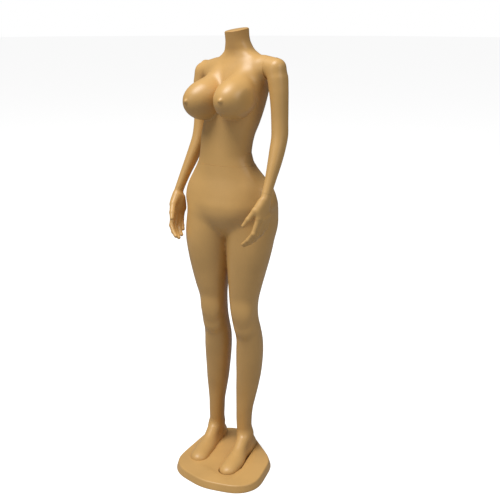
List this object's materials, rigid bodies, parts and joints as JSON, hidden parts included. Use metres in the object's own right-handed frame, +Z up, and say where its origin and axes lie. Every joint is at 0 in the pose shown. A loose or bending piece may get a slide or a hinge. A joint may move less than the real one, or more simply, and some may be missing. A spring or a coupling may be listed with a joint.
{
  "type": "full body mannequin",
  "caption": "Standing headless female display figure in satin skin-tone plastic: torso, legs, swinging arms and turning hands lift apart, on a low base with recesses for the feet.",
  "frame": {"origin": "on the floor, at the middle of the base, on the middle rubber pad's underside", "axes": "+Z up, the feet point along -Y, +X towards the figure's left side"},
  "size_m": [0.4423, 0.441, 1.6051],
  "materials": {
    "skin": "satin skin-tone lacquer on moulded plastic",
    "plate": "grey powder coat",
    "steel": "turned bare steel",
    "zinc": "zinc plated",
    "nylon": "natural nylon",
    "rubber": "matte"
  },
  "bodies": {
    "base": {"base_shell": "skin", "base_plate": "plate", "base_pads": "rubber", "base_screws": "zinc", "left_foot_peg": "steel", "right_foot_peg": "steel", "peg_screws": "zinc"},
    "legs": {"lower_body": "skin", "left_foot_socket": "nylon", "right_foot_socket": "nylon", "waist_plate": "plate", "waist_spigot": "steel", "waist_plate_screws": "zinc", "spigot_washer": "zinc", "spigot_nut": "zinc"},
    "torso": {"torso_shell": "skin", "torso_waist_plate": "plate", "waist_socket": "nylon", "torso_waist_screws": "zinc", "neck_cap": "skin", "left_shoulder_plate": "plate", "right_shoulder_plate": "plate", "shoulder_screws": "zinc"},
    "left_shoulder": {"left_shoulder_hub": "steel", "left_shoulder_spring": "steel", "left_shoulder_nut": "zinc"},
    "right_shoulder": {"right_shoulder_hub": "steel", "right_shoulder_spring": "steel", "right_shoulder_nut": "zinc"},
    "left_arm": {"left_arm_shell": "skin", "left_arm_fitting": "nylon", "left_arm_screws": "zinc", "left_wrist_socket": "nylon"},
    "right_arm": {"right_arm_shell": "skin", "right_arm_fitting": "nylon", "right_arm_screws": "zinc", "right_wrist_socket": "nylon"},
    "left_hand": {"left_hand": "skin", "left_wrist_peg": "steel"},
    "right_hand": {"right_hand": "skin", "right_wrist_peg": "steel"}
  },
  "joints": [
    {"name": "legs_lift_off", "type": "slide", "parent": "base", "child": "legs", "axis": [0, 0, 1], "range_m": [0, 0.07]},
    {"name": "torso_lift_off", "type": "slide", "parent": "legs", "child": "torso", "axis": [0, 0, 1], "range_m": [0, 0.04]},
    {"name": "left_shoulder_swing", "type": "hinge", "parent": "torso", "child": "left_shoulder", "pos_m": [0.1594, -0.0157, 1.4766], "axis": [-0.9336, 0.3584, 0], "range_deg": [0, 90]},
    {"name": "left_arm_pull", "type": "slide", "parent": "left_shoulder", "child": "left_arm", "axis": [0.9336, -0.3584, 0], "range_m": [0, 0.025]},
    {"name": "left_wrist_turn", "type": "hinge", "parent": "left_arm", "child": "left_hand", "pos_m": [0.18996, -0.1174, 1.07576], "axis": [0.1313, 0.3422, 0.9304], "range_deg": [-15, 15]},
    {"name": "right_shoulder_swing", "type": "hinge", "parent": "torso", "child": "right_shoulder", "pos_m": [-0.0871, 0.0789, 1.4554], "axis": [-0.9336, 0.3584, 0], "range_deg": [0, 90]},
    {"name": "right_arm_pull", "type": "slide", "parent": "right_shoulder", "child": "right_arm", "axis": [-0.9336, 0.3584, 0], "range_m": [0, 0.025]},
    {"name": "right_wrist_turn", "type": "hinge", "parent": "right_arm", "child": "right_hand", "pos_m": [-0.18404, 0.0133, 1.04408], "axis": [0.1313, 0.3422, 0.9304], "range_deg": [-20, 0]}
  ]
}
